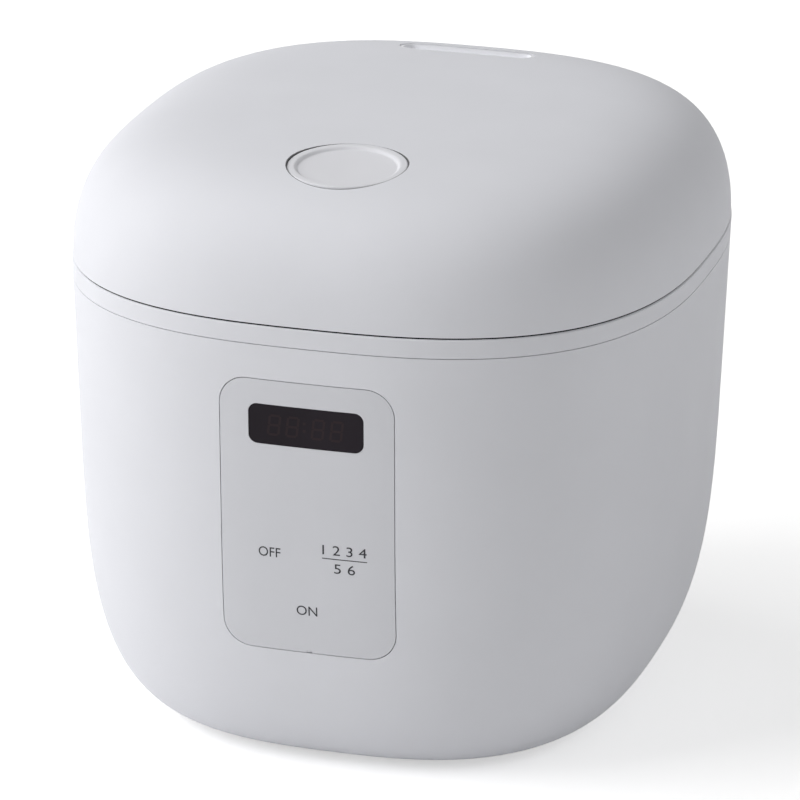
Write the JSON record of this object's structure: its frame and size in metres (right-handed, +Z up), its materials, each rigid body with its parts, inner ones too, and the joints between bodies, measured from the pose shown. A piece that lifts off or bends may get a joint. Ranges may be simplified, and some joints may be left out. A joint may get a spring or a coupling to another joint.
{
  "type": "rice cooker",
  "caption": "Compact electric rice cooker with a rounded-square body, domed hinged lid with a round latch button, front display panel, steam vent and inner pot.",
  "frame": {"origin": "floor point under the middle of the body", "axes": "+Z up, front with the control panel towards -Y, hinge towards +Y"},
  "size_m": [0.2245, 0.246, 0.2183],
  "materials": {
    "white_shell": "satin white",
    "white_inner": "fine matt white",
    "smoked_window": "gloss, near black",
    "dark_plastic": "fine matt black",
    "grey_key": "matt grey",
    "steel": "plain steel",
    "galvanised": "galvanised sheet",
    "brass": "plated",
    "pot_coating": "dark non-stick coat",
    "cast_aluminium": "cast",
    "element_sheath": "sheath",
    "inner_lid_metal": "satin anodised",
    "silicone": "translucent grey",
    "foot_rubber": "black rubber",
    "circuit_board": "green board",
    "core": "varnished",
    "sensor_bead": "epoxy",
    "lead_red": "insulated",
    "lead_white": "insulated"
  },
  "bodies": {
    "base": {"outer_casing": "white_shell", "upper_frame": "white_shell", "control_panel": "white_shell", "base_plate": "white_inner", "key_frame": "white_inner", "display_window": "smoked_window", "power_inlet": "dark_plastic", "led_display": "dark_plastic", "relay": "dark_plastic", "key_switches": "dark_plastic", "capacitor": "dark_plastic", "base_screws": "steel", "liner_screws": "steel", "heater_screws": "steel", "control_board_screws": "steel", "power_board_screws": "steel", "hinge_pin": "steel", "sensor_spring": "steel", "sensor_guide": "steel", "thermal_fuse": "steel", "pot_liner": "galvanised", "inlet_pins": "brass", "inner_pot": "pot_coating", "heater_plate": "cast_aluminium", "heater_element": "element_sheath", "rubber_feet": "foot_rubber", "control_board": "circuit_board", "power_board": "circuit_board", "transformer": "core", "mains_leads": "lead_red", "heater_leads": "lead_white", "ribbon_cable": "lead_white"},
    "lid": {"lid_cover": "white_shell", "lid_base": "white_inner", "lid_screws": "steel", "inner_lid": "inner_lid_metal", "lid_gasket": "silicone", "inner_lid_grommet": "silicone", "steam_duct": "white_inner", "button_bracket": "white_inner", "button_spring": "steel", "latch_pin": "steel", "latch_spring": "steel"},
    "button": {"lid_button": "white_shell"},
    "latch": {"latch_lever": "white_inner"},
    "vent_cap": {"steam_vent_cap": "white_inner"},
    "sensor": {"sensor_cap": "cast_aluminium", "thermistor": "sensor_bead"},
    "left_key": {"key_left": "grey_key"},
    "right_key": {"key_right": "grey_key"},
    "start_key": {"key_start": "grey_key"}
  },
  "joints": [
    {"name": "lid_hinge", "type": "hinge", "parent": "base", "child": "lid", "pos_m": [0, 0.112, 0.178], "axis": [-1, 0, 0], "range_deg": [0, 90]},
    {"name": "button_press", "type": "slide", "parent": "lid", "child": "button", "axis": [0, 0.07, -0.9976], "range_m": [0, 0.003], "stiffness_N_per_m": 400, "springref_m": -0.003, "deforming": ["button_spring"]},
    {"name": "latch_pivot", "type": "hinge", "parent": "lid", "child": "latch", "pos_m": [0, -0.1, 0.19], "axis": [-1, 0, 0], "range_deg": [0, 6.3], "deforming": ["latch_spring"]},
    {"name": "vent_cap_lift", "type": "slide", "parent": "lid", "child": "vent_cap", "axis": [0, 0, 1], "range_m": [0, 0.03]},
    {"name": "sensor_plunge", "type": "slide", "parent": "base", "child": "sensor", "axis": [0, 0, -1], "range_m": [0, 0.0025], "stiffness_N_per_m": 300, "springref_m": -0.003, "deforming": ["sensor_spring"]},
    {"name": "left_key_press", "type": "slide", "parent": "base", "child": "left_key", "axis": [0, 1, 0], "range_m": [0, 0.0004], "stiffness_N_per_m": 500, "springref_m": -0.0006},
    {"name": "right_key_press", "type": "slide", "parent": "base", "child": "right_key", "axis": [0, 1, 0], "range_m": [0, 0.0004], "stiffness_N_per_m": 500, "springref_m": -0.0006},
    {"name": "start_key_press", "type": "slide", "parent": "base", "child": "start_key", "axis": [0, 1, 0], "range_m": [0, 0.0004], "stiffness_N_per_m": 500, "springref_m": -0.0006}
  ],
  "couplings": [
    {"joint": "latch_pivot", "follows": "button_press", "rad_per_m": 35.996}
  ]
}
